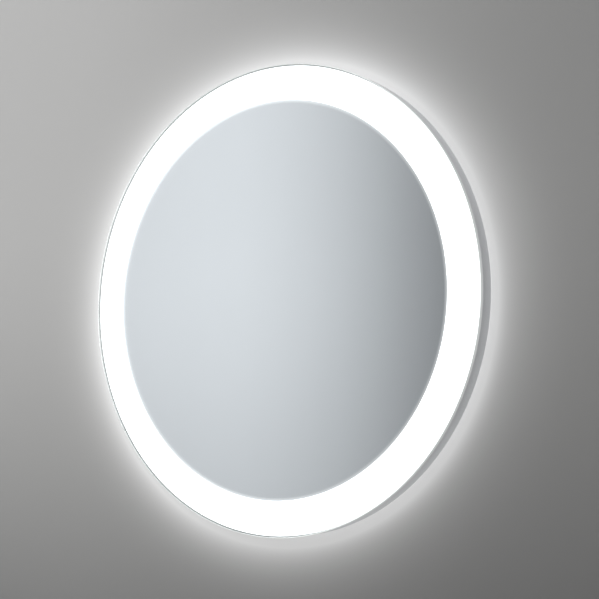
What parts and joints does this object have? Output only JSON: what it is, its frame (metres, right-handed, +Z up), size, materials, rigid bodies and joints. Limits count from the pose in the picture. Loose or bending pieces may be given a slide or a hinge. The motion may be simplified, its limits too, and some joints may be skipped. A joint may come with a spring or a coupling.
{
  "type": "lighted bathroom mirror",
  "caption": "Round wall mirror with a lit band inside its rim, a halo light on the wall behind, an aluminium side band and a hang-on wall rail.",
  "frame": {"origin": "on the wall, midway between the two screw holes of the wall rail", "axes": "+Y into the wall, +Z up, +X to the right as seen by someone who faces the mirror"},
  "size_m": [0.6, 0.038, 0.5999],
  "materials": {
    "zinc_steel": "zinc plated",
    "pan_steel": "galvanised sheet",
    "clear_glass": "polished float glass",
    "silvering": "silvered, painted at the back",
    "opal_front": "opal acrylic, lit from behind",
    "opal_rear": "opal polycarbonate, lit from inside",
    "silicone": "milky silicone bead",
    "foam_tape": "foam tape",
    "anodised_aluminium": "satin anodised",
    "mill_aluminium": "mill finish",
    "rivet_aluminium": "as made",
    "screw_steel": "zinc plated",
    "white_film": "white reflector film",
    "flex_circuit": "white flexible circuit",
    "lamp": "phosphor and clear resin",
    "driver_metal": "white powder coat",
    "circuit_board": "green solder mask",
    "board_parts": "moulded",
    "box_plastic": "moulded, fine grain",
    "block_plastic": "moulded nylon",
    "brass": "turned",
    "black_rubber": "moulded",
    "white_sheath": "extruded sheath",
    "earth_sheath": "green and yellow sheath"
  },
  "bodies": {
    "rail": {"wall_rail": "zinc_steel"},
    "mirror": {"hanger_left": "zinc_steel", "hanger_right": "zinc_steel", "back_pan": "pan_steel", "mirror_glass": "clear_glass", "silver_backing": "silvering", "front_diffuser": "opal_front", "rear_led_cover": "opal_rear", "edge_seal": "silicone", "glass_tape": "foam_tape", "side_frame": "anodised_aluminium", "carrier_ring": "mill_aluminium", "rear_led_channel": "mill_aluminium", "frame_joint_plate": "mill_aluminium", "rear_channel_rivets": "rivet_aluminium", "hanger_rivets": "rivet_aluminium", "joint_plate_screws": "screw_steel", "pan_screws": "screw_steel", "carrier_screws": "screw_steel", "terminal_box_screws": "screw_steel", "cord_clamp_screws": "screw_steel", "driver_screws": "screw_steel", "lid_hinge_pin": "screw_steel", "earth_stud": "screw_steel", "earth_nuts": "screw_steel", "light_reflector": "white_film", "front_led_strip": "flex_circuit", "rear_led_strip": "flex_circuit", "front_leds": "lamp", "rear_leds": "lamp", "driver_base": "driver_metal", "driver_cover": "driver_metal", "driver_board": "circuit_board", "driver_parts": "board_parts", "terminal_box": "box_plastic", "cord_clamp": "box_plastic", "terminal_block": "block_plastic", "mains_lead_clips": "block_plastic", "led_lead_clips": "block_plastic", "terminal_screws": "brass", "earth_lug": "brass", "supply_grommet": "black_rubber", "lead_grommet": "black_rubber", "wall_bumpers": "black_rubber", "mains_lead": "white_sheath", "front_led_lead": "white_sheath", "rear_led_lead": "white_sheath", "earth_lead": "earth_sheath"},
    "lid": {"terminal_lid": "box_plastic", "lid_screw": "screw_steel"}
  },
  "joints": [
    {"name": "lift_off", "type": "slide", "parent": "rail", "child": "mirror", "axis": [0, 0, 1], "range_m": [0, 0.02]},
    {"name": "lid_hinge", "type": "hinge", "parent": "mirror", "child": "lid", "pos_m": [0.06, -0.0082, -0.0585], "axis": [1, 0, 0], "range_deg": [0, 110]}
  ]
}
